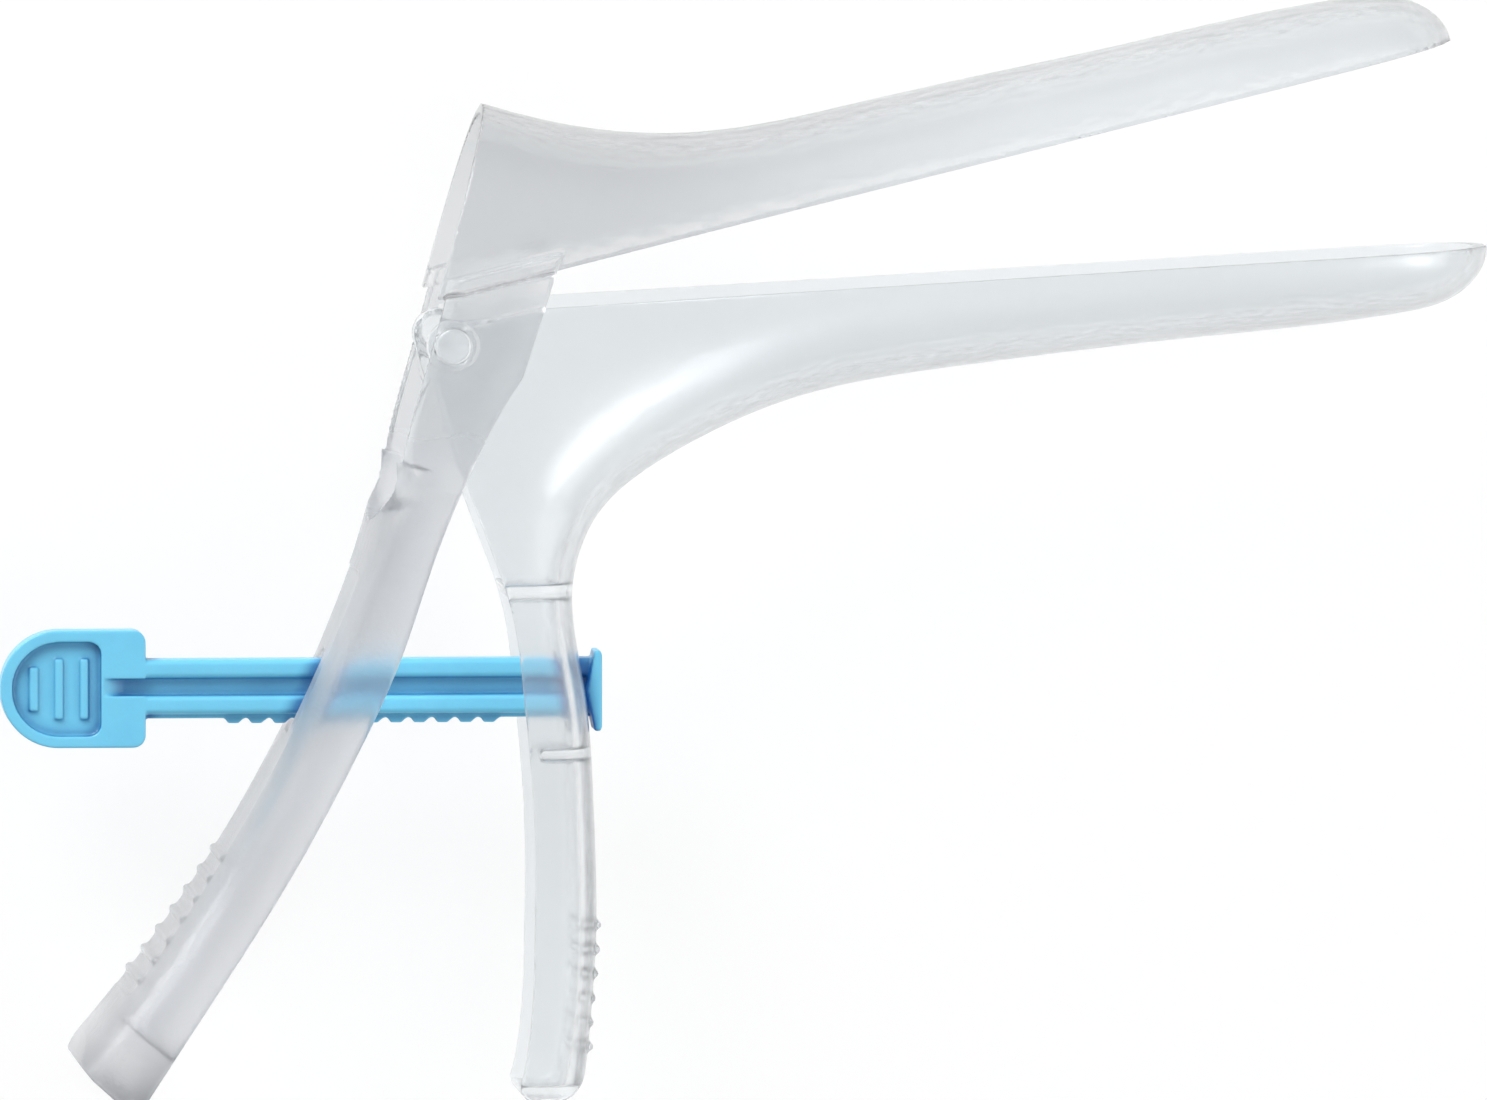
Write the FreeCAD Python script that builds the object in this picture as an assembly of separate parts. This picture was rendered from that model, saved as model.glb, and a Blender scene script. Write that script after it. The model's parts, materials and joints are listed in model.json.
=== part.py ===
import FreeCAD, Part
import math
import os
from FreeCAD import Vector

# Bivalve speculum moulded in clear plastic, with a coloured ratchet bar that locks it open.
# It has three moulded pieces: the upper blade with its ears and rear handle, the lower blade
# with its front handle and hinge studs, and the locking bar. All sizes are in millimetres.
#
# It is modelled about its hinge: the hinge axis is Z through the origin, X runs towards the
# blade tips and Y up to the upper blade. At the end the whole part is moved so that its box
# stands centred over the origin, lying on the flat side of one hinge ear.

# Walls and clearances
blade_wall = 1.5
handle_wall = 1.6
ear_wall = 1.6
ear_gap = 0.3
stud_clearance = 0.05
bar_clearance = 0.3

# Hinge
hinge_width = 30.4
lug_radius = 3.0
lug_boss_height = 0.3
stud_radius = 2.1
stud_recess = 0.1
lead_in_depth = 0.35
ear_pad_height = 0.4

# Upper blade, turned up by its tilt; heights are measured square to its straight edge
upper_tilt = 13.8
upper_edge_height = 5.6
upper_length = 125.0
upper_tip_length = 11.5
upper_tip_height = 7.9
upper_mid_width = 26.0
upper_tip_width = 23.6
ear_top_height = 7.5

# Lower blade, turned up by its tilt
lower_tilt = 3.3
lower_edge_height = 3.7
lower_length = 124.8
lower_tip_length = 11.5
lower_tip_height = 7.6
lower_mid_width = 26.0
lower_tip_width = 23.6

# How full the U sections are: 0.55 makes them half ellipses, 1 nearly square. Their walls turn
# straight a little past the edge that is cut.
blade_fullness = 0.6
handle_fullness = 0.96
ear_fullness = 1.08
edge_spare = 0.5

# Mouth and viewing aperture
mouth_lean = 15.4
mouth_offset = 3.2
aperture_bottom = 23.0
aperture_round = 6.0

# Rear handle; places down it are measured from the hinge's height
waist_height = 22.5
waist_width = 25.0
rear_toe_height = 92.0
rear_toe_wall = 2.8
rear_grip_width = 27.0
rear_toe_width = 34.0
rear_rim_width = 2.2
rear_rim_height = 0.5

# Front handle
front_handle_width = 19.4
front_toe_height = 90.5
front_toe_wall = 1.8
web_height = 29.0
web_thickness = 1.4
ledge_drop = 6.8
ledge_thickness = 1.0
ledge_rear = 11.0

# Grip ribs on both handles
grip_rib_pitch = 2.9
grip_rib_radius = 0.5
first_rib_height = 6.5
rear_rib_count = 7
front_rib_count = 6

# Locking bar, measured from its swivel centre in the front handle's wall
swivel_height = 41.8
swivel_gap = 0.15
bar_thickness = 4.4
bar_top = 3.9
bar_rib_height = 2.25
bar_groove_height = 2.05
bar_web_thickness = 2.0
flange_thickness = 1.8
flange_bottom = 3.2
bar_edge_round = 0.7
block_start = 52.4
panel_start = 57.7
tab_end = 69.7
tab_height = 14.0
tab_rise = 0.4
tab_rim = 1.4
tab_corner = 1.5
panel_depth = 0.9
tooth_count = 12
tooth_pitch = 2.77
tooth_depth = 0.6
first_tooth = 11.3
head_height = 9.6
head_width = 6.4
head_thickness = 1.9
head_relief = 12.0

# Travel that the slots clear: the blades' angle about the hinge, and the bar's share of it
closed_angle = -11.0
open_angle = 27.0
swivel_share = 0.48

# Reach of the tools that cut past the whole part
far = 60.0


def polar(length, angle):
    """Point at a distance and an angle in degrees from the hinge axis."""
    return Vector(length * math.cos(math.radians(angle)), length * math.sin(math.radians(angle)), 0)


def turned(point, angle):
    """Point turned about the hinge axis."""
    return polar(math.hypot(point.x, point.y), math.degrees(math.atan2(point.y, point.x)) + angle)


def upper_point(along, height):
    """Point in the upper blade's frame: along its edge and square to it."""
    return turned(Vector(along, height, 0), upper_tilt)


def lower_point(along, height):
    """Point in the lower blade's frame."""
    return turned(Vector(along, height, 0), lower_tilt)


mouth_down = turned(Vector(0, -1, 0), -mouth_lean)
mouth_in = turned(Vector(1, 0, 0), -mouth_lean)


def mouth_point(down, inward=0.0):
    """Point by the mouth plane: down it from the hinge's height, and in from it."""
    return mouth_down * down + mouth_in * (inward - mouth_offset)


def prism(edges, low, high):
    """Closed outline of edges in the XY plane, made solid from one height to another."""
    face = Part.Face(Part.Wire(edges))
    face.translate(Vector(0, 0, low))
    return face.extrude(Vector(0, 0, high - low))


def polygon(points, low=-far, high=far):
    """Straight-sided outline made solid."""
    return prism(Part.makePolygon(points + [points[0]]).Edges, low, high)


def block(x0, x1, y0, y1, z0, z1):
    """Rectangular block between three pairs of limits."""
    return Part.makeBox(x1 - x0, y1 - y0, z1 - z0, Vector(x0, y0, z0))


def on_both_sides(shape):
    """The shape and its mirror image across the middle plane."""
    return [shape, shape.mirror(Vector(0, 0, 0), Vector(0, 0, 1))]


def smooth(points):
    """Smooth curve through the points."""
    curve = Part.BSplineCurve()
    curve.interpolate(points)
    return curve


def eased(stations, place):
    """Value at a place, eased smoothly between the stations of a list of (place, value)."""
    if place <= stations[0][0]:
        return stations[0][1]
    for (start, first), (end, last) in zip(stations, stations[1:]):
        if place <= end:
            share = (place - start) / (end - start)
            return first + (last - first) * share * share * (3 - 2 * share)
    return stations[-1][1]


def trough_rows(floor, edge, half_width, fullness, reach):
    """Control points of a U section: a rounded half each side of the floor, and straight walls
    that reach past the edge. The walls turn straight just past the edge, so that the cut along
    the edge meets one face."""
    out = (edge - floor).normalize()
    edge = edge + out * edge_spare
    depth = (edge - floor) * fullness
    side = Vector(0, 0, half_width)
    right = [edge + side, edge - depth + side, floor + side * fullness, floor]
    left = [floor, floor - side * fullness, edge - depth - side, edge - side]
    beyond = out * reach
    return [right, left, [left[-1], left[-1] + beyond], [left[-1] + beyond, right[0] + beyond],
            [right[0] + beyond, right[0]]]


def strip(rows, places):
    """Smooth face through rows of control points, each row at its place along the form."""
    columns = []
    for column in zip(*rows):
        curve = Part.BSplineCurve()
        curve.interpolate(Points=list(column), Parameters=places)
        columns.append(curve)
    across = len(columns)
    surface = Part.BSplineSurface()
    surface.buildFromPolesMultsKnots([curve.getPoles() for curve in columns], [across, across],
                                     columns[0].getMultiplicities(), [0.0, 1.0], columns[0].getKnots(),
                                     False, False, across - 1, columns[0].Degree)
    return surface.toShape()


def end_face(rows):
    """Flat face that closes the form at one of its sections."""
    edges = []
    for row in rows:
        curve = Part.BezierCurve()
        curve.setPoles(row)
        edges.append(curve.toShape())
    return Part.Face(Part.Wire(edges))


def trough(sections):
    """Closed solid form through U sections, which may lie at uneven distances."""
    middles = [section[0][1] for section in sections]
    places = [0.0]
    for one, two in zip(middles, middles[1:]):
        places.append(places[-1] + (two - one).Length)
    faces = [strip(rows, places) for rows in zip(*sections)]
    faces += [end_face(sections[0]), end_face(sections[-1])]
    shell = Part.makeShell(faces)
    shell.sewShape()
    solid = Part.makeSolid(shell)
    if solid.Volume < 0:
        solid.reverse()
    return solid


def loft(sections):
    """Smooth closed form through the sections."""
    return Part.makeLoft(sections, True, False, False, 3)


def tip_stations(length, tip_length, wall):
    """Places along a blade's rounded tip, with the share of the full section left there."""
    for angle in (0, 32, 60, 82):
        share = math.cos(math.radians(angle))
        yield length - tip_length + (tip_length - wall) * math.sin(math.radians(angle)), share


# Upper blade

upper_body_end = upper_length - upper_tip_length
tip_crown = upper_edge_height + upper_tip_height

# Stations of the funnel and blade: place along it, height of its crown, full width
upper_stations = [(-10, 41.0, hinge_width), (6, 29.4, hinge_width), (20, 21.4, hinge_width - 1.0),
                  (35, 16.7, upper_mid_width + 1.0), (56, 15.4, upper_mid_width),
                  (88, 14.5, (upper_mid_width + upper_tip_width) / 2),
                  (upper_body_end, tip_crown, upper_tip_width)]


def upper_trough(wall):
    """The funnel and blade as one solid form; the hollow is the same form inset by the wall."""
    places = [(along, crown, width, 1.0) for along, crown, width in upper_stations[:-1]]
    places += [(along, tip_crown, upper_tip_width, share)
               for along, share in tip_stations(upper_length, upper_tip_length, wall)]
    sections = []
    for along, crown, width, share in places:
        rise = (crown - upper_edge_height - wall) * share
        sections.append(trough_rows(upper_point(along, upper_edge_height + rise),
                                    upper_point(along, upper_edge_height),
                                    (width / 2 - wall) * share, blade_fullness, blade_wall))
    return trough(sections)


def upper_shell():
    """Funnel and blade, cut off at the mouth plane and along the straight edge."""
    kept = polygon([mouth_point(-far), upper_point(2 * far + upper_length, far),
                    upper_point(2 * far + upper_length, upper_edge_height),
                    upper_point(-far, upper_edge_height)])
    return upper_trough(0).cut(upper_trough(blade_wall)).common(kept).cut(behind_mouth(far))


def behind_mouth(low):
    """Everything behind the mouth plane, down to a place on it."""
    return polygon([mouth_point(-2 * far), mouth_point(low), mouth_point(low, -far),
                    mouth_point(-2 * far, -far)])


# Ears and rear handle. The rear face is straight down the mouth, then one long arc to the toe.

waist = mouth_point(waist_height)
rear_mid = Vector(-22.3, -51.9, 0)
rear_low = Vector(-42.4, -81.4, 0)
toe_corner = [Vector(-44.0, -84.6, 0), Vector(-42.9, -87.0, 0)]
toe_end = [Vector(-39.4, -90.1, 0), Vector(-37.7, -90.6, 0), Vector(-36.3, -89.4, 0)]
handle_front = [toe_end[-1], Vector(-31.0, -81.4, 0), Vector(-19.3, -63.6, 0),
                Vector(-11.5, -49.4, 0), Vector(-6.0, -37.5, 0), Vector(-1.7, -24.5, 0),
                Vector(2.4, -14.2, 0), Vector(8.3, -3.7, 0)]
ear_front = [Vector(10.9, 4.4, 0), Vector(12.9, 10.8, 0)]
ear_inner = hinge_width / 2 + ear_gap
ear_half_width = ear_inner + ear_wall
handle_depth = 8.0
rear_arc = Part.Arc(waist, rear_mid, rear_low).toShape().Curve
rear_widths = [(12, 2 * ear_half_width + 0.6), (32, waist_width), (48, waist_width),
               (64, rear_grip_width), (rear_toe_height, rear_toe_width)]
rear_fullness = [(10, ear_fullness), (30, handle_fullness)]


def rear_point(down, inward=0.0):
    """Point on the rear face, so far down it from the hinge's height, and in from it."""
    if down <= waist_height:
        return mouth_point(down, inward)
    start = waist - rear_arc.Center
    turn = -math.degrees((down - waist_height) / rear_arc.Radius)
    out = turned(start, turn).normalize()
    return rear_arc.Center + out * (rear_arc.Radius + inward)


def rear_trough(wall, first, last, spacing=10.0):
    """The ears and handle as a U form, open to the front, with evenly spaced sections."""
    sections = []
    count = round((last - first) / spacing)
    for step in range(count + 1):
        down = first + (last - first) * step / count
        half = eased(rear_widths, down) / 2 - wall
        sections.append(trough_rows(rear_point(down, wall), rear_point(down, handle_depth), half,
                                    eased(rear_fullness, down), 2 * handle_depth))
    return trough(sections)


def rear_outline():
    """Side outline of the ear and rear handle, left wide behind the rear face."""
    beyond = toe_corner[0] + (toe_corner[0] - rear_low) * 0.2
    back = [mouth_point(-waist_height, -handle_depth), rear_point(rear_toe_height * 0.65, -handle_depth), beyond,
            toe_corner[1], toe_end[0]]
    edges = [Part.makeLine(a, b) for a, b in zip(back, back[1:])]
    edges += [Part.Arc(*toe_end).toShape(), smooth(handle_front).toShape(),
              Part.makeLine(handle_front[-1], ear_front[0]), Part.makeLine(*ear_front),
              Part.makeLine(ear_front[1], back[0])]
    return prism(edges, -far, far)


def above_edge(height, half_width):
    """Everything over a height in the upper blade's frame, within a half width."""
    return polygon([upper_point(-far, height), upper_point(far, height), upper_point(far, 2 * far),
                    upper_point(-far, 2 * far)], -half_width, half_width)


def ear_cavity():
    """Room between the ears for the lower moulding, up to the upper blade's edge."""
    low = 15.0
    return polygon([mouth_point(low, -9), mouth_point(low, 12), Vector(far / 2, -12, 0),
                    upper_point(far / 2, upper_edge_height), upper_point(-far / 2, upper_edge_height)],
                   -ear_inner, ear_inner)


def aperture():
    """Round lower end of the viewing aperture, through the rear wall."""
    top = aperture_bottom - aperture_round
    ellipse = Part.Ellipse(Vector(0, 0, 0), ear_inner - ear_wall / 2, aperture_round)
    face = Part.Face(Part.Wire([ellipse.toShape()]))
    tool = face.extrude(Vector(0, 0, 12))
    tool.Placement = FreeCAD.Placement(FreeCAD.Matrix(
        0, mouth_down.x, mouth_in.x, mouth_point(top, -6).x,
        0, mouth_down.y, mouth_in.y, mouth_point(top, -6).y,
        1, 0, 0, 0,
        0, 0, 0, 1))
    return tool


def bar_slot():
    """Slot in the rear wall that the bar passes at every angle of the blades."""
    centre = 46.0
    foot = rear_point(centre)
    inward = (rear_point(centre, 1.0) - foot).normalize()
    down = Vector(inward.y, -inward.x, 0)
    marks = []
    for step in range(20):
        angle = closed_angle + (open_angle - closed_angle) * step / 19
        hub = turned(swivel, -angle)
        heading = turned(Vector(-1, 0, 0), (swivel_share - 1) * angle)
        side = turned(Vector(0, 1, 0), (swivel_share - 1) * angle)
        for height in (bar_top, -flange_bottom - tooth_depth):
            for depth in (0.0, handle_wall):
                start = hub + side * height - foot
                reach = (depth - start.dot(inward)) / heading.dot(inward)
                marks.append((start + heading * reach).dot(down))
    top = min(marks) - bar_clearance
    bottom = max(marks) + bar_clearance
    half = bar_thickness / 2 + bar_clearance
    corners = [foot + down * d + inward * i for d, i in
               ((top, -4), (bottom, -4), (bottom, handle_wall + 4), (top, handle_wall + 4))]
    return polygon(corners, -half, half)


def rear_recess():
    """Shallow field inside the raised rim of the handle's rear face."""
    sections = []
    top = waist_height + 6.5
    bottom = rear_toe_height - 5.5
    for step in range(6):
        down = top + (bottom - top) * step / 5
        half = eased(rear_widths, down) / 2 - rear_rim_width
        low = rear_point(down, -2)
        high = rear_point(down, rear_rim_height)
        corners = [low + Vector(0, 0, half), high + Vector(0, 0, half),
                   high - Vector(0, 0, half), low - Vector(0, 0, half)]
        sections.append(Part.makePolygon(corners + [corners[0]]))
    return loft(sections)


def rear_grip_rib(down):
    """One rounded rib across the handle's rear face."""
    half = eased(rear_widths, down) / 2 - rear_rim_width - 1.5
    rib = Part.makeCylinder(grip_rib_radius, 2 * half, Vector(0, 0, -half), Vector(0, 0, 1))
    rib.translate(rear_point(down, rear_rim_height))
    return rib


def ear_lead_in():
    """Shallow recess on the ear's inner face that lets the stud spring into its hole."""
    outline = [Vector(1.2, 2.2, 0), Vector(16, 5.9, 0), Vector(16, -1.6, 0), Vector(8.4, -3.4, 0),
               Vector(4.0, -4.4, 0), Vector(1.2, -2.2, 0)]
    return polygon(outline, ear_inner - 0.1, ear_inner + lead_in_depth)


def beside_ear_pad():
    """What the ear's outer face loses round its raised pad, which is shaped like a shield."""
    corner = Vector(-0.7, 2.92, 0)
    tangent = Vector(-2.92, -0.7, 0)
    round_lug = Part.Arc(corner, Vector(-2.6, 1.5, 0), tangent).toShape()
    outline = [tangent, Vector(0.7, -14.1, 0), Vector(2.4, -16.8, 0), Vector(far, -16.8, 0),
               Vector(far, far, 0), Vector(-3.6, far, 0), Vector(-3.6, 14.0, 0), corner]
    edges = [round_lug] + [Part.makeLine(a, b) for a, b in zip(outline, outline[1:])]
    beside = block(-far, far, -waist_height, far, ear_half_width - ear_pad_height, ear_half_width + 1)
    return beside.cut(prism(edges, 0, far))


def upper_blade():
    """Upper blade, ears and rear handle in one moulding."""
    between_faces = block(-far, far, -2 * far, far, -ear_half_width, ear_half_width)
    handle = rear_trough(0, -16, rear_toe_height + 6).common(rear_outline()).common(between_faces)
    handle = handle.cut(rear_trough(handle_wall, 13, rear_toe_height - rear_toe_wall))
    handle = handle.cut(ear_cavity())
    handle = handle.cut(above_edge(upper_edge_height - 0.5, hinge_width / 2 - blade_wall))
    handle = handle.cut(above_edge(ear_top_height, far))
    handle = handle.cut(on_both_sides(beside_ear_pad()))
    handle = handle.cut(behind_mouth(waist_height - 2.5))
    handle = handle.cut(aperture())
    handle = handle.cut(rear_recess())
    ribs = [rear_grip_rib(rear_toe_height - first_rib_height - 1.5 - grip_rib_pitch * i)
            for i in range(rear_rib_count)]
    shape = upper_shell().fuse([handle] + ribs)
    shape = shape.cut(bar_slot())
    hole = Part.makeCylinder(stud_radius + stud_clearance, far, Vector(0, 0, hinge_width / 2 - blade_wall))
    shape = shape.cut(on_both_sides(hole) + on_both_sides(ear_lead_in()))
    return shape.removeSplitter()


# Lower blade and front handle. Sections fan round the corner between them.

lug_width = hinge_width - 2 * lug_boss_height

# Along the blade: place, height of its floor in the blade's frame, full width
lower_stations = [(88, -5.3, (lower_mid_width + lower_tip_width) / 2), (61, -6.9, lower_mid_width)]

# Round the corner: floor point, direction from it to the rim, depth to the rim, full width, fullness
corner_stations = [(Vector(41.5, -7.1, 0), 98, 12.5, lug_width - 2.6, 0.63),
                   (Vector(29.0, -12.5, 0), 111, 18.5, lug_width - 0.6, 0.69),
                   (Vector(20.6, -18.1, 0), 130, 27.5, lug_width - 0.2, 0.78),
                   (Vector(16.3, -24.3, 0), 151, 20.0, lug_width - 6.8, 0.88),
                   (Vector(15.0, -30.5, 0), 169, 10.5, front_handle_width + 0.8, 0.93)]

# Down the front handle from the swivel to the toe: share of the way, place of its front face
handle_fronts = [(0.0, 16.5), (0.27, 17.5), (0.57, 17.85), (0.86, 16.9)]
handle_reach = front_toe_height - swivel_height
handle_stations = [(-swivel_height - share * handle_reach, front) for share, front in handle_fronts]
swivel = Vector(handle_fronts[0][1] + swivel_gap, -swivel_height, 0)
toe_corner_height = 3.1
handle_rear = [Vector(6.3, -28.4, 0), Vector(7.7, -33.5, 0), Vector(8.9, -swivel_height - 1, 0),
               Vector(10.1, -swivel_height - handle_reach / 3, 0),
               Vector(10.1, -swivel_height - handle_reach * 0.58, 0),
               Vector(9.4, -front_toe_height + 7.1, 0), Vector(8.7, -front_toe_height + toe_corner_height, 0)]
handle_corner = Vector(1.0, -14.3, 0)


def lower_trough(wall):
    """Blade, funnel and front handle as one U form; the hollow is inset by the wall."""
    sections = []
    for along, share in reversed(list(tip_stations(lower_length, lower_tip_length, wall))):
        depth = (lower_tip_height - wall) * share
        half = (lower_tip_width / 2 - wall) * share
        sections.append(trough_rows(lower_point(along, lower_edge_height - depth),
                                    lower_point(along, lower_edge_height), half,
                                    blade_fullness, blade_wall))
    for along, floor, width in lower_stations:
        sections.append(trough_rows(lower_point(along, floor + wall), lower_point(along, lower_edge_height),
                                    width / 2 - wall, blade_fullness, blade_wall))
    for floor, heading, depth, width, fullness in corner_stations:
        towards = polar(1, heading)
        sections.append(trough_rows(floor + towards * wall, floor + towards * depth, width / 2 - wall,
                                    fullness, handle_depth))
    toe = -front_toe_height + front_toe_wall if wall else -front_toe_height - 1
    for height, front in handle_stations + [(toe, 16.1)]:
        sections.append(trough_rows(Vector(front - wall, height, 0), Vector(front - handle_depth, height, 0),
                                    front_handle_width / 2 - wall, handle_fullness, handle_depth))
    return trough(sections)


def lower_outline():
    """Side outline of the lower moulding, left wide below the blade and before the handle."""
    lug_top = polar(lug_radius, 72)
    lug_back = polar(lug_radius, 170)
    lug_low = polar(lug_radius, 197)
    blade_end = lower_length + 5
    toe = -front_toe_height
    toe_rear = Vector(10.2, toe, 0)
    toe_front = Vector(12.6, toe, 0)
    toe_top = Vector(16.4, toe + 4.3, 0)
    edges = [Part.makeLine(lower_point(blade_end, lower_edge_height), lower_point(11.5, lower_edge_height)),
             Part.makeLine(lower_point(11.5, lower_edge_height), lug_top),
             Part.Arc(lug_top, lug_back, lug_low).toShape(),
             Part.makeLine(lug_low, handle_corner),
             Part.makeLine(handle_corner, handle_rear[0]),
             smooth(handle_rear).toShape(),
             Part.Arc(handle_rear[-1], Vector(8.7, toe + 0.9, 0), toe_rear).toShape(),
             Part.makeLine(toe_rear, toe_front),
             Part.Arc(toe_front, Vector(15.2, toe + 1.3, 0), toe_top).toShape()]
    outside = [toe_top, toe_top + Vector(6, 16, 0), Vector(far, -swivel_height, 0), lower_point(blade_end, -far),
               lower_point(blade_end, lower_edge_height)]
    edges += [Part.makeLine(a, b) for a, b in zip(outside, outside[1:])]
    return prism(edges, -far, far)


def front_face_at(height):
    """Front face of the front handle at a height, between its stations."""
    return eased([(-h, x) for h, x in handle_stations], -height)


def across_handle(outer, low, high):
    """Slice of the handle's form between two heights, which closes its channel there."""
    return outer.common(block(0, far, low, high, -far, far))


def lower_blade():
    """Lower blade, hinge studs and front handle in one moulding."""
    outer = lower_trough(0).common(lower_outline())
    shape = outer.cut(lower_trough(blade_wall))
    ledge_top = -swivel_height - ledge_drop
    web = across_handle(outer, -web_height - web_thickness, -web_height)
    ledge = across_handle(outer, ledge_top - ledge_thickness, ledge_top)
    ledge = ledge.cut(block(0, ledge_rear, -2 * far, 0, -far, far))
    half = hinge_width / 2
    inside = half - blade_wall - 2 * lug_boss_height
    boss = Part.makeCylinder(lug_radius, half - inside, Vector(0, 0, inside))
    stud = Part.makeCylinder(stud_radius, ear_half_width - stud_recess - inside, Vector(0, 0, inside))
    ribs = [front_grip_rib(-front_toe_height + first_rib_height + grip_rib_pitch * i)
            for i in range(front_rib_count)]
    shape = shape.fuse([web, ledge] + on_both_sides(boss) + on_both_sides(stud) + ribs)
    swing = math.tan(math.radians(max(open_angle, -closed_angle) * swivel_share))
    opening = bar_top + handle_wall * swing + bar_clearance
    slot_half = bar_thickness / 2 + bar_clearance
    slot = block(swivel.x - 6, swivel.x + 3, swivel.y - opening, swivel.y + opening, -slot_half, slot_half)
    return shape.cut(slot).removeSplitter()


def front_grip_rib(height):
    """One rounded rib across the front handle's front face."""
    half = front_handle_width / 2 - 3.5
    centre = Vector(front_face_at(height) - 0.1, height, -half)
    rib = Part.makeCylinder(grip_rib_radius, 2 * half, centre, Vector(0, 0, 1))
    rib.rotate(centre, Vector(0, 0, 1), 180)
    return rib


# Locking bar, drawn with its swivel centre at the origin and its tab towards minus X

def bar_rib(top, height):
    """One long rounded rib of the bar."""
    half = bar_thickness / 2
    rib = block(-block_start - 1, 0.6, top - height, top, -half, half)
    long_edges = [e for e in rib.Edges if abs(e.Vertexes[0].X - e.Vertexes[-1].X) > 1]
    return rib.makeFillet(bar_edge_round, long_edges)


def ratchet():
    """Toothed flange along the bar's lower side."""
    base = -flange_bottom
    tip = base - tooth_depth
    points = [Vector(-block_start - 1, base + 2, 0), Vector(-block_start - 1, base, 0)]
    for tooth in range(tooth_count - 1, -1, -1):
        centre = -first_tooth - tooth * tooth_pitch
        points += [Vector(centre - 1.15, base, 0), Vector(centre - 0.75, tip, 0),
                   Vector(centre + 0.45, tip, 0), Vector(centre + 1.15, base, 0)]
    points += [Vector(-first_tooth + 2.9, base, 0), Vector(0.3, base, 0), Vector(0.3, base + 2, 0)]
    return polygon(points, -flange_thickness / 2, flange_thickness / 2)


def tab_outline(inset, right, low, high):
    """The thumb tab's D outline, inset from its edge."""
    radius = tab_height / 2 - inset
    centre = Vector(-tab_end + tab_height / 2, tab_rise, 0)
    corner = min(tab_corner, radius / 3)
    up = Vector(0, radius, 0)
    square = Vector(corner * (1 - math.sqrt(0.5)), corner * (1 - math.sqrt(0.5)), 0)
    top = centre + up
    bottom = centre - up
    top_right = Vector(right, top.y, 0)
    low_right = Vector(right, bottom.y, 0)
    edges = [Part.Arc(top, centre - Vector(radius, 0, 0), bottom).toShape(),
             Part.makeLine(bottom, low_right - Vector(corner, 0, 0)),
             Part.Arc(low_right - Vector(corner, 0, 0), low_right + Vector(-square.x, square.y, 0),
                      low_right + Vector(0, corner, 0)).toShape(),
             Part.makeLine(low_right + Vector(0, corner, 0), top_right - Vector(0, corner, 0)),
             Part.Arc(top_right - Vector(0, corner, 0), top_right - square,
                      top_right - Vector(corner, 0, 0)).toShape(),
             Part.makeLine(top_right - Vector(corner, 0, 0), top)]
    return prism(edges, low, high)


def thumb_tab():
    """Tab with a sunken panel on each face, crossed by three plain grip ribs."""
    half = bar_thickness / 2
    tab = tab_outline(0, -block_start, -half, half)
    panel = tab_outline(tab_rim, -panel_start, half - panel_depth, half + 1)
    tab = tab.cut(on_both_sides(panel))
    centre = -tab_end + tab_height / 2
    for place, reach in ((-3.0, 2.6), (0.0, 3.6), (3.0, 3.6)):
        grip = Part.makeBox(1.0, 2 * reach, bar_thickness - 2 * panel_depth + 0.9,
                            Vector(centre + place - 0.5, tab_rise - reach,
                                   -half + panel_depth - 0.45))
        tab = tab.fuse(grip)
    return tab


def bar_head():
    """Rocking head outside the front handle, relieved both ways from its middle ridge."""
    half = head_height / 2
    slope = half * math.tan(math.radians(head_relief))
    points = [Vector(0, 0, 0), Vector(slope, half, 0), Vector(head_thickness - 0.2, half, 0),
              Vector(head_thickness, half - 0.5, 0), Vector(head_thickness, 0.5 - half, 0),
              Vector(head_thickness - 0.2, -half, 0), Vector(slope, -half, 0)]
    return polygon(points, -head_width / 2, head_width / 2)


def locking_bar():
    upper_rib = bar_rib(bar_top, bar_rib_height)
    groove_top = bar_top - bar_rib_height
    lower_top = groove_top - bar_groove_height
    lower_rib = bar_rib(lower_top, bar_rib_height)
    web_half = bar_web_thickness / 2
    web = block(-block_start - 1, 0.6, lower_top - 0.8, groove_top + 0.8, -web_half, web_half)
    shape = thumb_tab().fuse([upper_rib, lower_rib, web, ratchet(), bar_head()])
    half = bar_thickness / 2
    ramp = [Vector(-panel_start + 0.2, half, 0), Vector(-panel_start + 2.6, web_half, 0),
            Vector(-block_start + 0.1, web_half, 0), Vector(-block_start + 0.1, half + 1, 0),
            Vector(-panel_start + 0.2, half + 1, 0)]
    face = Part.Face(Part.makePolygon(ramp + [ramp[0]]))
    groove = face.extrude(Vector(0, 0, bar_groove_height))
    groove.rotate(Vector(0, 0, 0), Vector(1, 0, 0), 90)
    groove.translate(Vector(0, groove_top, 0))
    shape = shape.cut(on_both_sides(groove)).removeSplitter()
    shape.translate(swivel)
    return shape


parts = {"upper_blade": upper_blade(), "lower_blade": lower_blade(), "locking_bar": locking_bar()}

# The part's place: its box centred over the origin, resting at height zero
whole = Part.makeCompound(list(parts.values())).optimalBoundingBox(False)
shift = Vector(-(whole.XMin + whole.XMax) / 2, -(whole.YMin + whole.YMax) / 2, ear_half_width)

os.makedirs("parts", exist_ok=True)
for name, shape in parts.items():
    shape.translate(shift)
    shape.exportStep(os.path.join("parts", name + ".step"))
    print(name, "solids", len(shape.Solids), "valid", shape.isValid(), "volume", round(shape.Volume, 1))
print("hinge axis at", round(shift.x, 3), round(shift.y, 3))
print("swivel at", round(shift.x + swivel.x, 3), round(shift.y + swivel.y, 3))
print("box", round(whole.XLength, 2), round(whole.YLength, 2), round(whole.ZLength, 2))
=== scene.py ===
import json
import math

import bmesh
import bpy
from mathutils import Matrix, Vector


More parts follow.
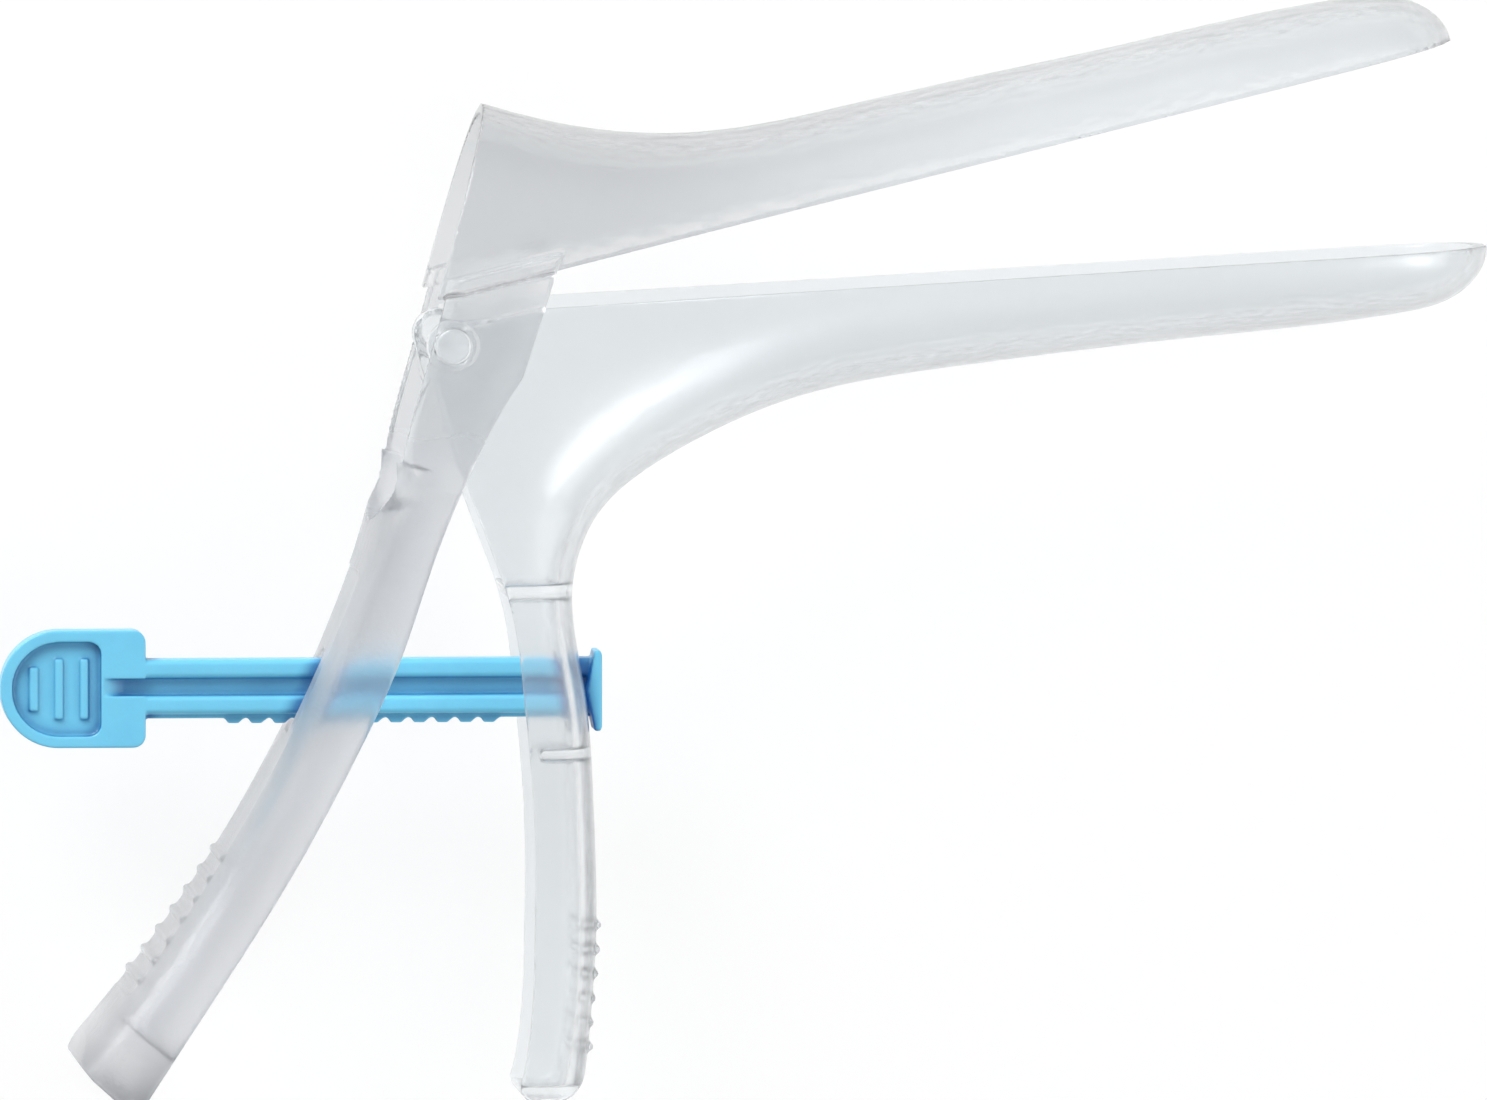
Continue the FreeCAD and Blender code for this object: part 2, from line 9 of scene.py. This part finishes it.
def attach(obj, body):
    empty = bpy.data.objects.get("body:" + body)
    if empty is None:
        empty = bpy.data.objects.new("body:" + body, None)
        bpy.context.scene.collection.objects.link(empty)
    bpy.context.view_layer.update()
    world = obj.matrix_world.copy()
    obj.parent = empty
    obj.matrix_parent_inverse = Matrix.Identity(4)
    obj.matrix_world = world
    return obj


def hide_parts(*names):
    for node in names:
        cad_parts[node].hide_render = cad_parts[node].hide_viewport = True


bl_info = {
    "name": "Bivalve speculum",
    "version": (1, 0, 0),
    "blender": (4, 5, 0),
    "location": "View3D > Sidebar > Speculum",
    "description": "Dresses the hinged blades, handles and locking bar of a clear plastic speculum",
    "category": "Object",
}

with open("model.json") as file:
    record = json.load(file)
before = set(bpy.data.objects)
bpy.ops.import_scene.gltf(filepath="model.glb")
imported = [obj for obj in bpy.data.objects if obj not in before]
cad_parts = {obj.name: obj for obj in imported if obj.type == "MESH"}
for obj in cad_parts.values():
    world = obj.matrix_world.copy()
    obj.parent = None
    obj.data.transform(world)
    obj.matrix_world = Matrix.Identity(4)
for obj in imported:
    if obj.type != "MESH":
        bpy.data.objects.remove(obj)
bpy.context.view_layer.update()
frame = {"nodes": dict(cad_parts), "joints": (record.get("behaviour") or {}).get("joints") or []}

MM = 0.001
JOINTS = {joint["name"]: joint for joint in frame["joints"]}
HINGE = Vector(JOINTS["blade_hinge"]["pos_m"])
MIDDLE = HINGE.z

# Where the upper piece changes its look, measured from the hinge
FROST_STARTS, FROST_FULL = HINGE.y - 4 * MM, HINGE.y - 22 * MM
# Where the rear handle's end is darkened by painted shade
TOE_SHADE_STARTS, TOE_SHADE_FULL = HINGE.y - 82 * MM, HINGE.y - 89 * MM
ROOT_ENDS, BLADE_STARTS = HINGE.x + 25 * MM, HINGE.x + 70 * MM

# Grip ribs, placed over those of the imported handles
LOWEST_REAR_RIB = Vector((-72.596, -50.379, 0)) * MM
REAR_LEAN = math.radians(53.1)
REAR_TURN_PER_RIB = math.radians(0.72)
REAR_RIB_HALF = 10.2 * MM
FRONT_RIB_HALF = 6.2 * MM
LOWEST_FRONT_RIB = HINGE.y - 84 * MM
CLEAR_OF_HANDLE = 0.06

# Meshes
SAME_PLACE = 2e-6
SMOOTH_PASSES = 3
MOST_TRIANGLES = 190000
BAR_DETAIL = 0.18 * MM

# Stage
FLOOR_HALF = 3.0
TO_CAMERA = (-0.0734, 0.0594, 0.9955)
AIM = Vector((-0.00001, -0.00024, 0.0171))


# Colours and nodes

def from_hex(code):
    """Linear colour of an sRGB hex value."""
    parts = [int(code[i:i + 2], 16) / 255 for i in (1, 3, 5)]
    return [c / 12.92 if c <= 0.04045 else ((c + 0.055) / 1.055) ** 2.4 for c in parts]


def add_node(tree, kind, links=(), **settings):
    """Adds a node: settings name its properties or its input sockets, links feed its inputs."""
    node = tree.nodes.new(kind)
    for name, value in settings.items():
        if hasattr(node, name):
            setattr(node, name, value)
        else:
            node.inputs[name.replace("_", " ")].default_value = value
    for socket, source in dict(links).items():
        tree.links.new(source, node.inputs[socket])
    return node


# Sizes and colours that a user would change

class SpeculumClearPlastic(bpy.types.PropertyGroup):
    tint: bpy.props.FloatVectorProperty(
        name="Clear tint", description="Colour of light that has passed one clear wall",
        subtype="COLOR", size=3, min=0, max=1, default=from_hex("#EFF1F2"))
    root_tint: bpy.props.FloatVectorProperty(
        name="Root tint", description="Colour of light that has passed the upper blade's wall near its ears",
        subtype="COLOR", size=3, min=0, max=1, default=from_hex("#E5E6E7"))
    frosted_tint: bpy.props.FloatVectorProperty(
        name="Frosted tint", description="Colour of light that has passed one frosted wall of the rear handle",
        subtype="COLOR", size=3, min=0, max=1, default=from_hex("#E3E4E6"))
    roughness: bpy.props.FloatProperty(
        name="Roughness", description="Roughness of the blades' polished faces",
        subtype="FACTOR", min=0, max=1, default=0.2)
    frosted_roughness: bpy.props.FloatProperty(
        name="Frosted roughness", description="Roughness of the rear handle's spark-eroded faces",
        subtype="FACTOR", min=0, max=1, default=0.36)


class SpeculumBluePlastic(bpy.types.PropertyGroup):
    light: bpy.props.FloatVectorProperty(
        name="Light blue", description="Colour of the bar's open faces",
        subtype="COLOR", size=3, min=0, max=1, default=from_hex("#74CDEE"))
    # Painted shade: the colour put in the bar's groove and corners
    shaded_blue: bpy.props.FloatVectorProperty(
        name="Deep blue", description="Colour in the bar's groove and corners, where the plastic shades itself",
        subtype="COLOR", size=3, min=0, max=1, default=from_hex("#05549A"))


class SpeculumSizes(bpy.types.PropertyGroup):
    rib_radius: bpy.props.FloatProperty(
        name="Rib radius", description="Radius of the handles' grip ribs",
        subtype="DISTANCE", unit="LENGTH", min=0.0002, max=0.002, default=0.52 * MM)
    rear_rib_count: bpy.props.IntProperty(
        name="Rear ribs", description="Grip ribs on the rear handle", min=0, max=12, default=7)
    front_rib_count: bpy.props.IntProperty(
        name="Front ribs", description="Grip ribs on the front handle", min=0, max=12, default=6)
    rib_pitch: bpy.props.FloatProperty(
        name="Rib pitch", description="Distance from one grip rib to the next",
        subtype="DISTANCE", unit="LENGTH", min=0.001, max=0.01, default=2.9 * MM)
    detail: bpy.props.FloatProperty(
        name="Mesh detail", description="Grid size from which the mouldings' round-edged meshes are made",
        subtype="DISTANCE", unit="LENGTH", min=0.0001, max=0.001, default=0.25 * MM)


class SpeculumStage(bpy.types.PropertyGroup):
    camera_distance: bpy.props.FloatProperty(
        name="Camera distance", description="Distance from the camera to the part",
        subtype="DISTANCE", unit="LENGTH", min=0.5, max=10, default=4.0)
    view_width: bpy.props.FloatProperty(
        name="View width", description="Width of the picture at the part",
        subtype="DISTANCE", unit="LENGTH", min=0.05, max=1, default=0.177)


# Materials

def new_material(name):
    """An empty material, its node tree and its output node."""
    material = bpy.data.materials.new(name)
    material.use_nodes = True
    tree = material.node_tree
    tree.nodes.clear()
    return material, tree, tree.nodes.new("ShaderNodeOutputMaterial")


def moulded_clear_polystyrene(name, frosted):
    """Injection-moulded clear polystyrene. Its tool is satin, which greys and softens what is seen
    through a wall. On the rear handle the tool is spark-eroded, so the wall turns to frosted
    glass with a fine sparkle along its edges."""
    look = bpy.context.scene.speculum_clear
    material, tree, output = new_material(name)
    place = add_node(tree, "ShaderNodeTexCoord")
    height = add_node(tree, "ShaderNodeSeparateXYZ", {"Vector": place.outputs["Object"]})
    # From the hinge ear, where the tool is satin, to the handle under it, where it is eroded
    frost = add_node(tree, "ShaderNodeMapRange", {"Value": height.outputs["Y"]})
    frost.inputs["From Min"].default_value = FROST_STARTS
    frost.inputs["From Max"].default_value = FROST_FULL
    frost.inputs["To Min"].default_value = 0.0
    frost.inputs["To Max"].default_value = 1.0 if frosted else 0.0
    # Flow marks 8 mm long, and an eroded grain of 0.5 mm, which is coarser than the real 0.1 mm
    flow = add_node(tree, "ShaderNodeTexNoise", {"Vector": place.outputs["Object"]}, Scale=120.0, Detail=3.0)
    grain = add_node(tree, "ShaderNodeTexNoise", {"Vector": place.outputs["Object"]}, Scale=2000.0, Detail=2.0)
    tint = add_node(tree, "ShaderNodeMix", {"Factor": frost.outputs["Result"]}, data_type="RGBA")
    tint.inputs["B"].default_value = list(look.frosted_tint) + [1]
    # Matched to the photo, where the upper blade is greyer near its ears
    root = add_node(tree, "ShaderNodeMapRange", {"Value": height.outputs["X"]})
    root.inputs["From Min"].default_value = ROOT_ENDS
    root.inputs["From Max"].default_value = BLADE_STARTS
    wall = add_node(tree, "ShaderNodeMix", {"Factor": root.outputs["Result"]}, data_type="RGBA")
    wall.inputs["A"].default_value = list(look.root_tint if frosted else look.tint) + [1]
    wall.inputs["B"].default_value = list(look.tint) + [1]
    tree.links.new(wall.outputs["Result"], tint.inputs["A"])
    # Painted shade, matched to the photo: the rear handle's end is darkened towards dark grey
    toe_shade = add_node(tree, "ShaderNodeMapRange", {"Value": height.outputs["Y"]})
    toe_shade.inputs["From Min"].default_value = TOE_SHADE_STARTS
    toe_shade.inputs["From Max"].default_value = TOE_SHADE_FULL
    toe_shade.inputs["To Max"].default_value = 1.0 if frosted else 0.0
    tint = add_node(tree, "ShaderNodeMix", {"Factor": toe_shade.outputs["Result"], "A": tint.outputs["Result"]},
                    data_type="RGBA")
    tint.inputs["B"].default_value = from_hex("#8E9094") + [1]
    rough = add_node(tree, "ShaderNodeMix", {"Factor": frost.outputs["Result"]}, data_type="FLOAT")
    rough.inputs["A"].default_value = look.roughness
    rough.inputs["B"].default_value = look.frosted_roughness
    uneven = add_node(tree, "ShaderNodeMath", {0: flow.outputs["Fac"]}, operation="MULTIPLY_ADD")
    uneven.inputs[1].default_value = 0.1
    uneven.inputs[2].default_value = -0.05
    rough = add_node(tree, "ShaderNodeMath", {0: rough.outputs["Result"], 1: uneven.outputs[0]}, operation="ADD")
    depth = add_node(tree, "ShaderNodeMath", {0: frost.outputs["Result"]}, operation="MULTIPLY")
    depth.inputs[1].default_value = 0.3
    eroded = add_node(tree, "ShaderNodeBump", {"Height": grain.outputs["Fac"], "Strength": depth.outputs[0]},
                      Distance=0.12 * MM)
    skin = add_node(tree, "ShaderNodeBsdfPrincipled", {
        "Base Color": tint.outputs["Result"], "Roughness": rough.outputs[0], "Normal": eroded.outputs["Normal"]})
    skin.inputs["IOR"].default_value = 1.5
    skin.inputs["Transmission Weight"].default_value = 0.93
    clear = add_node(tree, "ShaderNodeBsdfTransparent", Color=from_hex("#E6E8EA") + [1])
    path = add_node(tree, "ShaderNodeLightPath")
    mix = add_node(tree, "ShaderNodeMixShader", {0: path.outputs["Is Shadow Ray"], 1: skin.outputs["BSDF"],
                                                 2: clear.outputs["BSDF"]})
    tree.links.new(mix.outputs["Shader"], output.inputs["Surface"])
    return material


def moulded_blue_polypropylene():
    """Injection-moulded sky-blue polypropylene: a waxy soft gloss, a little see-through. Its groove
    and corners get painted shade: a deeper blue than its open faces, wherever ambient occlusion finds walls near."""
    look = bpy.context.scene.speculum_blue
    material, tree, output = new_material("moulded_blue_polypropylene")
    place = add_node(tree, "ShaderNodeTexCoord")
    # Painted shade: ambient occlusion darkens the colour in the groove and corners
    shade = add_node(tree, "ShaderNodeAmbientOcclusion", samples=8, Distance=2.2 * MM)
    out_of_painted_shade = add_node(tree, "ShaderNodeMapRange", {"Value": shade.outputs["AO"]})
    out_of_painted_shade.inputs["From Min"].default_value = 0.55
    out_of_painted_shade.inputs["From Max"].default_value = 0.97
    # Flow marks 6 mm long
    flow = add_node(tree, "ShaderNodeTexNoise", {"Vector": place.outputs["Object"]}, Scale=160.0, Detail=4.0)
    mottle = add_node(tree, "ShaderNodeMath", {0: flow.outputs["Fac"]}, operation="MULTIPLY_ADD")
    mottle.inputs[1].default_value = 0.24
    mottle.inputs[2].default_value = -0.12
    share = add_node(tree, "ShaderNodeMath", {0: out_of_painted_shade.outputs["Result"], 1: mottle.outputs[0]},
                     operation="ADD", use_clamp=True)
    tint = add_node(tree, "ShaderNodeMix", {"Factor": share.outputs[0]}, data_type="RGBA")
    tint.inputs["A"].default_value = list(look.shaded_blue) + [1]
    tint.inputs["B"].default_value = list(look.light) + [1]
    # Moulded grain of 0.5 mm
    grain = add_node(tree, "ShaderNodeTexNoise", {"Vector": place.outputs["Object"]}, Scale=2000.0, Detail=2.0)
    bump = add_node(tree, "ShaderNodeBump", {"Height": grain.outputs["Fac"]}, Strength=0.25, Distance=0.06 * MM)
    rough = add_node(tree, "ShaderNodeMapRange", {"Value": flow.outputs["Fac"]})
    rough.inputs["To Min"].default_value = 0.26
    rough.inputs["To Max"].default_value = 0.42
    skin = add_node(tree, "ShaderNodeBsdfPrincipled", {
        "Base Color": tint.outputs["Result"], "Normal": bump.outputs["Normal"],
        "Roughness": rough.outputs["Result"]})
    skin.inputs["Subsurface Weight"].default_value = 0.12
    skin.inputs["Subsurface Scale"].default_value = 1.0 * MM
    tree.links.new(skin.outputs["BSDF"], output.inputs["Surface"])
    return material


def studio_paper():
    """Matt white paper sweep, which the camera sees as plain white with a faint shadow."""
    material, tree, output = new_material("studio_paper")
    paper = add_node(tree, "ShaderNodeBsdfDiffuse", Color=from_hex("#FFFFFF") + [1])
    white = add_node(tree, "ShaderNodeEmission", Strength=1.0)
    path = add_node(tree, "ShaderNodeLightPath")
    seen = add_node(tree, "ShaderNodeMath", {0: path.outputs["Is Camera Ray"], 1: path.outputs["Is Glossy Ray"]},
                    operation="MAXIMUM")
    seen = add_node(tree, "ShaderNodeMath", {0: seen.outputs[0], 1: path.outputs["Is Transmission Ray"]},
                    operation="MAXIMUM")
    share = add_node(tree, "ShaderNodeMath", {0: seen.outputs[0]}, operation="MULTIPLY")
    share.inputs[1].default_value = 0.8
    mix = add_node(tree, "ShaderNodeMixShader", {0: share.outputs[0], 1: paper.outputs[0], 2: white.outputs[0]})
    tree.links.new(mix.outputs["Shader"], output.inputs["Surface"])
    return material


# Meshes

def bake(obj):
    """The object's mesh with its modifiers worked in."""
    bpy.context.view_layer.update()
    graph = bpy.context.evaluated_depsgraph_get()
    mesh = bpy.data.meshes.new_from_object(obj.evaluated_get(graph))
    obj.modifiers.clear()
    old, obj.data = obj.data, mesh
    bpy.data.meshes.remove(old)
    mesh.name = obj.name


def new_object(name, mesh):
    obj = bpy.data.objects.new(name, mesh)
    bpy.context.scene.collection.objects.link(obj)
    return obj


def rib_tree():
    """Geometry nodes that set a round rib across the handle at each point of a row."""
    tree = bpy.data.node_groups.get("grip_ribs")
    if tree:
        return tree
    tree = bpy.data.node_groups.new("grip_ribs", "GeometryNodeTree")
    face = tree.interface
    face.new_socket("Row", in_out="INPUT", socket_type="NodeSocketGeometry")
    face.new_socket("Radius", in_out="INPUT", socket_type="NodeSocketFloat")
    face.new_socket("Half length", in_out="INPUT", socket_type="NodeSocketFloat")
    face.new_socket("Material", in_out="INPUT", socket_type="NodeSocketMaterial")
    face.new_socket("Ribs", in_out="OUTPUT", socket_type="NodeSocketGeometry")
    given = tree.nodes.new("NodeGroupInput")
    result = tree.nodes.new("NodeGroupOutput")
    end = add_node(tree, "ShaderNodeCombineXYZ", {"Z": given.outputs["Half length"]})
    start = add_node(tree, "ShaderNodeVectorMath", {0: end.outputs[0]}, operation="SCALE", Scale=-1.0)
    line = add_node(tree, "GeometryNodeCurvePrimitiveLine", {"Start": start.outputs[0], "End": end.outputs[0]})
    ring = add_node(tree, "GeometryNodeCurvePrimitiveCircle", {"Radius": given.outputs["Radius"]}, Resolution=16)
    rod = add_node(tree, "GeometryNodeCurveToMesh", {"Curve": line.outputs[0], "Profile Curve": ring.outputs[0]},
                   Fill_Caps=True)
    points = add_node(tree, "GeometryNodeMeshToPoints", {"Mesh": given.outputs["Row"]})
    ribs = add_node(tree, "GeometryNodeInstanceOnPoints", {"Points": points.outputs[0], "Instance": rod.outputs[0]})
    real = add_node(tree, "GeometryNodeRealizeInstances", {"Geometry": ribs.outputs[0]})
    clad = add_node(tree, "GeometryNodeSetMaterial", {"Geometry": real.outputs[0],
                                                      "Material": given.outputs["Material"]})
    tree.links.new(clad.outputs[0], result.inputs[0])
    return tree


def grip_ribs(name, places, half, material):
    """Mesh of a row of ribs, made by geometry nodes."""
    sizes = bpy.context.scene.speculum_sizes
    mesh = bpy.data.meshes.new(name)
    mesh.from_pydata(places, [], [])
    obj = new_object(name, mesh)
    modifier = obj.modifiers.new("ribs", "NODES")
    modifier.node_group = rib_tree()
    values = {"Radius": sizes.rib_radius, "Half length": half, "Material": material}
    for item in modifier.node_group.interface.items_tree:
        if item.name in values and item.in_out == "INPUT":
            modifier[item.identifier] = values[item.name]
    bake(obj)
    mesh = obj.data
    bpy.data.objects.remove(obj)
    return mesh


def rear_rib_places():
    """Rib centres up the rear handle's face, from the lowest: an arc that leans with the handle."""
    sizes = bpy.context.scene.speculum_sizes
    places, here = [], LOWEST_REAR_RIB
    for count in range(sizes.rear_rib_count):
        places.append((here.x, here.y, MIDDLE))
        angle = REAR_LEAN + REAR_TURN_PER_RIB * count
        here = here + Vector((math.cos(angle), math.sin(angle), 0)) * sizes.rib_pitch
    return places


def front_rib_places(node):
    """Rib centres up the front handle's face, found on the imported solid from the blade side."""
    sizes = bpy.context.scene.speculum_sizes
    places = []
    for count in range(sizes.front_rib_count):
        y = LOWEST_FRONT_RIB + sizes.rib_pitch * count
        hit, spot, _, _ = node.ray_cast(Vector((CLEAR_OF_HANDLE, y, MIDDLE)), Vector((-1, 0, 0)))
        if not hit:
            raise RuntimeError("the front handle has no face at a grip rib")
        places.append((spot.x - sizes.rib_radius, y, MIDDLE))
    return places


def moulded_copy(node, name, detail, extra=None):
    """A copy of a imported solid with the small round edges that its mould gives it, grown
    together with the extra mesh."""
    build = bmesh.new()
    build.from_mesh(frame["nodes"][node].data)
    bmesh.ops.remove_doubles(build, verts=build.verts, dist=SAME_PLACE)
    if extra:
        build.from_mesh(extra)
    mesh = bpy.data.meshes.new(name)
    build.to_mesh(mesh)
    build.free()
    obj = new_object(name, mesh)
    remesh = obj.modifiers.new("even", "REMESH")
    remesh.mode = "VOXEL"
    remesh.voxel_size = detail
    soften = obj.modifiers.new("soft", "SMOOTH")
    soften.factor = 0.5
    soften.iterations = SMOOTH_PASSES
    bake(obj)
    if len(obj.data.polygons) * 2 > MOST_TRIANGLES:
        thin = obj.modifiers.new("thin", "DECIMATE")
        thin.ratio = MOST_TRIANGLES / (len(obj.data.polygons) * 2)
        bake(obj)
    obj.data.shade_smooth()
    return obj


def finish_piece(obj, body, node, material):
    """Gives a piece its material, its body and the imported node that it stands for."""
    obj.data.materials.clear()
    obj.data.materials.append(material)
    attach(obj, body)
    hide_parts(node)


class SPECULUM_OT_upper_blade(bpy.types.Operator):
    """Make the upper blade with its ears, rear handle and grip ribs"""
    bl_idname = "speculum.upper_blade"
    bl_label = "Upper blade and rear handle"

    def execute(self, context):
        material = moulded_clear_polystyrene("moulded_frosted_polystyrene", True)
        ribs = grip_ribs("rear_grip_ribs", rear_rib_places(), REAR_RIB_HALF, material)
        obj = moulded_copy("upper_blade", "upper_blade_moulding", context.scene.speculum_sizes.detail, ribs)
        finish_piece(obj, "upper", "upper_blade", material)
        return {"FINISHED"}


class SPECULUM_OT_lower_blade(bpy.types.Operator):
    """Make the lower blade with its front handle, hinge studs and grip ribs"""
    bl_idname = "speculum.lower_blade"
    bl_label = "Lower blade and front handle"

    def execute(self, context):
        material = moulded_clear_polystyrene("moulded_clear_polystyrene", False)
        places = front_rib_places(frame["nodes"]["lower_blade"])
        ribs = grip_ribs("front_grip_ribs", places, FRONT_RIB_HALF, material)
        obj = moulded_copy("lower_blade", "lower_blade_moulding", context.scene.speculum_sizes.detail, ribs)
        finish_piece(obj, "lower", "lower_blade", material)
        return {"FINISHED"}


class SPECULUM_OT_locking_bar(bpy.types.Operator):
    """Make the blue locking bar with its ratchet and thumb tab"""
    bl_idname = "speculum.locking_bar"
    bl_label = "Locking bar"

    def execute(self, context):
        obj = moulded_copy("locking_bar", "locking_bar_moulding", BAR_DETAIL)
        finish_piece(obj, "bar", "locking_bar", moulded_blue_polypropylene())
        return {"FINISHED"}


def softbox(name, energy, size, place):
    """A square area light at a place, turned to the part."""
    data = bpy.data.lights.new(name, "AREA")
    data.energy = energy
    data.size = size
    obj = new_object(name, data)
    obj.location = place
    obj.rotation_mode = "QUATERNION"
    obj.rotation_quaternion = (-Vector(place)).to_track_quat("-Z", "Y")
    return obj


def room():
    """Grey studio room: bright overhead and darker round the sides, which draws clear edges."""
    world = bpy.data.worlds.new("studio_room")
    bpy.context.scene.world = world
    world.use_nodes = True
    tree = world.node_tree
    tree.nodes.clear()
    place = add_node(tree, "ShaderNodeTexCoord")
    up = add_node(tree, "ShaderNodeSeparateXYZ", {"Vector": place.outputs["Generated"]})
    level = add_node(tree, "ShaderNodeMapRange", {"Value": up.outputs["Z"]})
    level.inputs["From Min"].default_value = 0.1
    level.inputs["From Max"].default_value = 0.8
    level.inputs["To Min"].default_value = 0.2
    level.inputs["To Max"].default_value = 0.68
    sky = add_node(tree, "ShaderNodeBackground", {"Strength": level.outputs["Result"]},
                   Color=from_hex("#F2F4F6") + [1])
    add_node(tree, "ShaderNodeOutputWorld", {"Surface": sky.outputs[0]})


def photo_camera(distance, width):
    """Long lens over the part, a few degrees off square to its side."""
    camera = bpy.data.cameras.new("photo_camera")
    camera.sensor_width = 36
    camera.lens = camera.sensor_width * distance / width
    camera.clip_start, camera.clip_end = 0.05, 20
    obj = new_object("photo_camera", camera)
    back = Vector(TO_CAMERA).normalized()
    right = Vector((0, 1, 0)).cross(back).normalized()
    up = back.cross(right)
    turn = Matrix((right, up, back)).transposed().to_4x4()
    obj.matrix_world = Matrix.Translation(AIM + back * distance) @ turn
    return obj


class SPECULUM_OT_stage(bpy.types.Operator):
    """Make the floor, the lights and the camera"""
    bl_idname = "speculum.stage"
    bl_label = "Stage"

    def execute(self, context):
        stage = context.scene.speculum_stage
        mesh = bpy.data.meshes.new("paper_floor")
        corners = [(x * FLOOR_HALF, y * FLOOR_HALF, 0) for x, y in ((-1, -1), (1, -1), (1, 1), (-1, 1))]
        mesh.from_pydata(corners, [], [(0, 1, 2, 3)])
        mesh.materials.append(studio_paper())
        new_object("paper_floor", mesh)
        room()
        softbox("key_softbox", 12.0, 0.6, (-0.6, 0.9, 0.55))
        softbox("fill_softbox", 3.5, 0.9, (0.75, -0.2, 0.7))
        context.scene.camera = photo_camera(stage.camera_distance, stage.view_width)
        context.scene.view_settings.view_transform = "Standard"
        return {"FINISHED"}


class SPECULUM_PT_panel(bpy.types.Panel):
    """Sizes, colours and steps of the speculum"""
    bl_idname = "SPECULUM_PT_panel"
    bl_label = "Speculum"
    bl_space_type = "VIEW_3D"
    bl_region_type = "UI"
    bl_category = "Speculum"

    def draw(self, context):
        for name, group in GROUPS.items():
            box = self.layout.box()
            for prop in group.__annotations__:
                box.prop(getattr(context.scene, name), prop)
        for step in STEPS:
            self.layout.operator(step.bl_idname)


GROUPS = {"speculum_clear": SpeculumClearPlastic, "speculum_blue": SpeculumBluePlastic,
          "speculum_sizes": SpeculumSizes, "speculum_stage": SpeculumStage}
STEPS = (SPECULUM_OT_upper_blade, SPECULUM_OT_lower_blade, SPECULUM_OT_locking_bar, SPECULUM_OT_stage)


def register():
    for cls in (*GROUPS.values(), *STEPS, SPECULUM_PT_panel):
        bpy.utils.register_class(cls)
    for name, group in GROUPS.items():
        setattr(bpy.types.Scene, name, bpy.props.PointerProperty(type=group))


def unregister():
    for name in GROUPS:
        delattr(bpy.types.Scene, name)
    for cls in reversed((*GROUPS.values(), *STEPS, SPECULUM_PT_panel)):
        bpy.utils.unregister_class(cls)


def main():
    register()
    bpy.ops.speculum.upper_blade()
    bpy.ops.speculum.lower_blade()
    bpy.ops.speculum.locking_bar()
    bpy.ops.speculum.stage()


if __name__ == "__main__":
    main()
